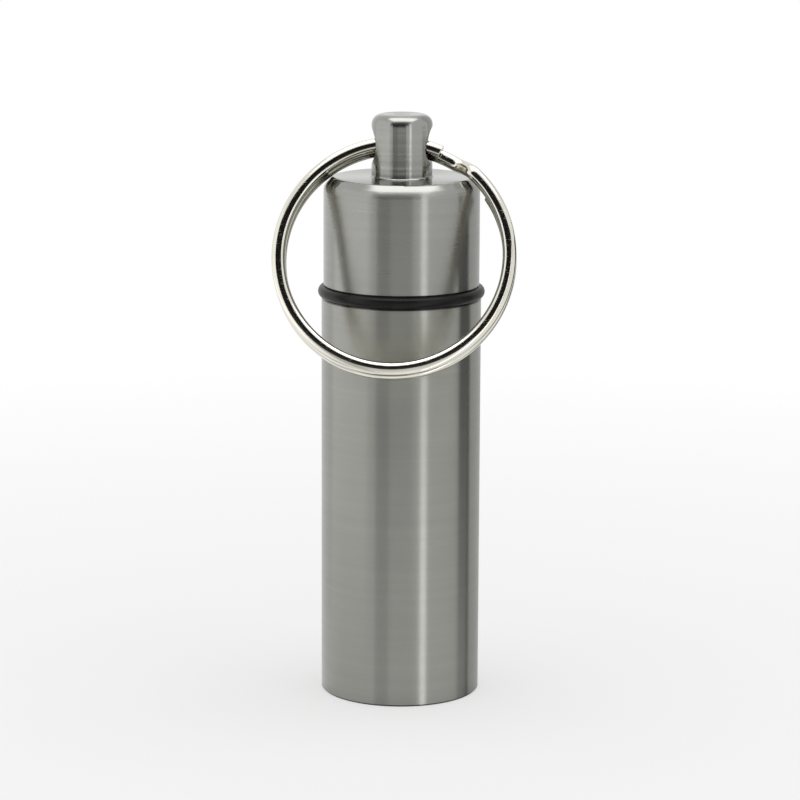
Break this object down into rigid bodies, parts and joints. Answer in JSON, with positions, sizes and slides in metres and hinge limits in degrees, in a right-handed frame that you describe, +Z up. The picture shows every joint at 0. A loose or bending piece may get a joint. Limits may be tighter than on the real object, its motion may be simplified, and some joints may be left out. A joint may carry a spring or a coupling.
{
  "type": "pill fob keychain",
  "caption": "Slim turned metal pill canister with a screw cap, a rubber seal ring, and a split key ring through a drilled knob on the cap.",
  "frame": {"origin": "centre of the canister's flat base", "axes": "+Z up along the canister towards the knob, +X to the viewer's right along the way the ring hangs, -Y towards the viewer"},
  "size_m": [0.0211, 0.0176, 0.0514],
  "materials": {
    "canister_metal": "satin turned, clear anodised, titanium grey",
    "cap_metal": "satin turned, clear anodised, titanium grey",
    "seal_rubber": "smooth moulded nitrile rubber",
    "ring_nickel": "bright nickel plate on spring steel"
  },
  "bodies": {
    "canister": {"canister": "canister_metal"},
    "seal": {"o_ring": "seal_rubber"},
    "cap": {"cap": "cap_metal"},
    "ring": {"split_ring": "ring_nickel"}
  },
  "joints": [
    {"name": "cap_lift", "type": "slide", "parent": "canister", "child": "seal", "axis": [0, 0, 1], "range_m": [0, 0.006]},
    {"name": "cap_turn", "type": "hinge", "parent": "seal", "child": "cap", "pos_m": [0, 0, 0.0364], "axis": [0, 0, 1], "range_deg": [0, 2160]},
    {"name": "ring_swing", "type": "hinge", "parent": "cap", "child": "ring", "pos_m": [0, 0, 0.04868], "axis": [-0.9962, 0.0872, 0], "range_deg": [0, 295]}
  ],
  "couplings": [
    {"joint": "cap_lift", "follows": "cap_turn", "m_per_rad": 0.00015915}
  ]
}
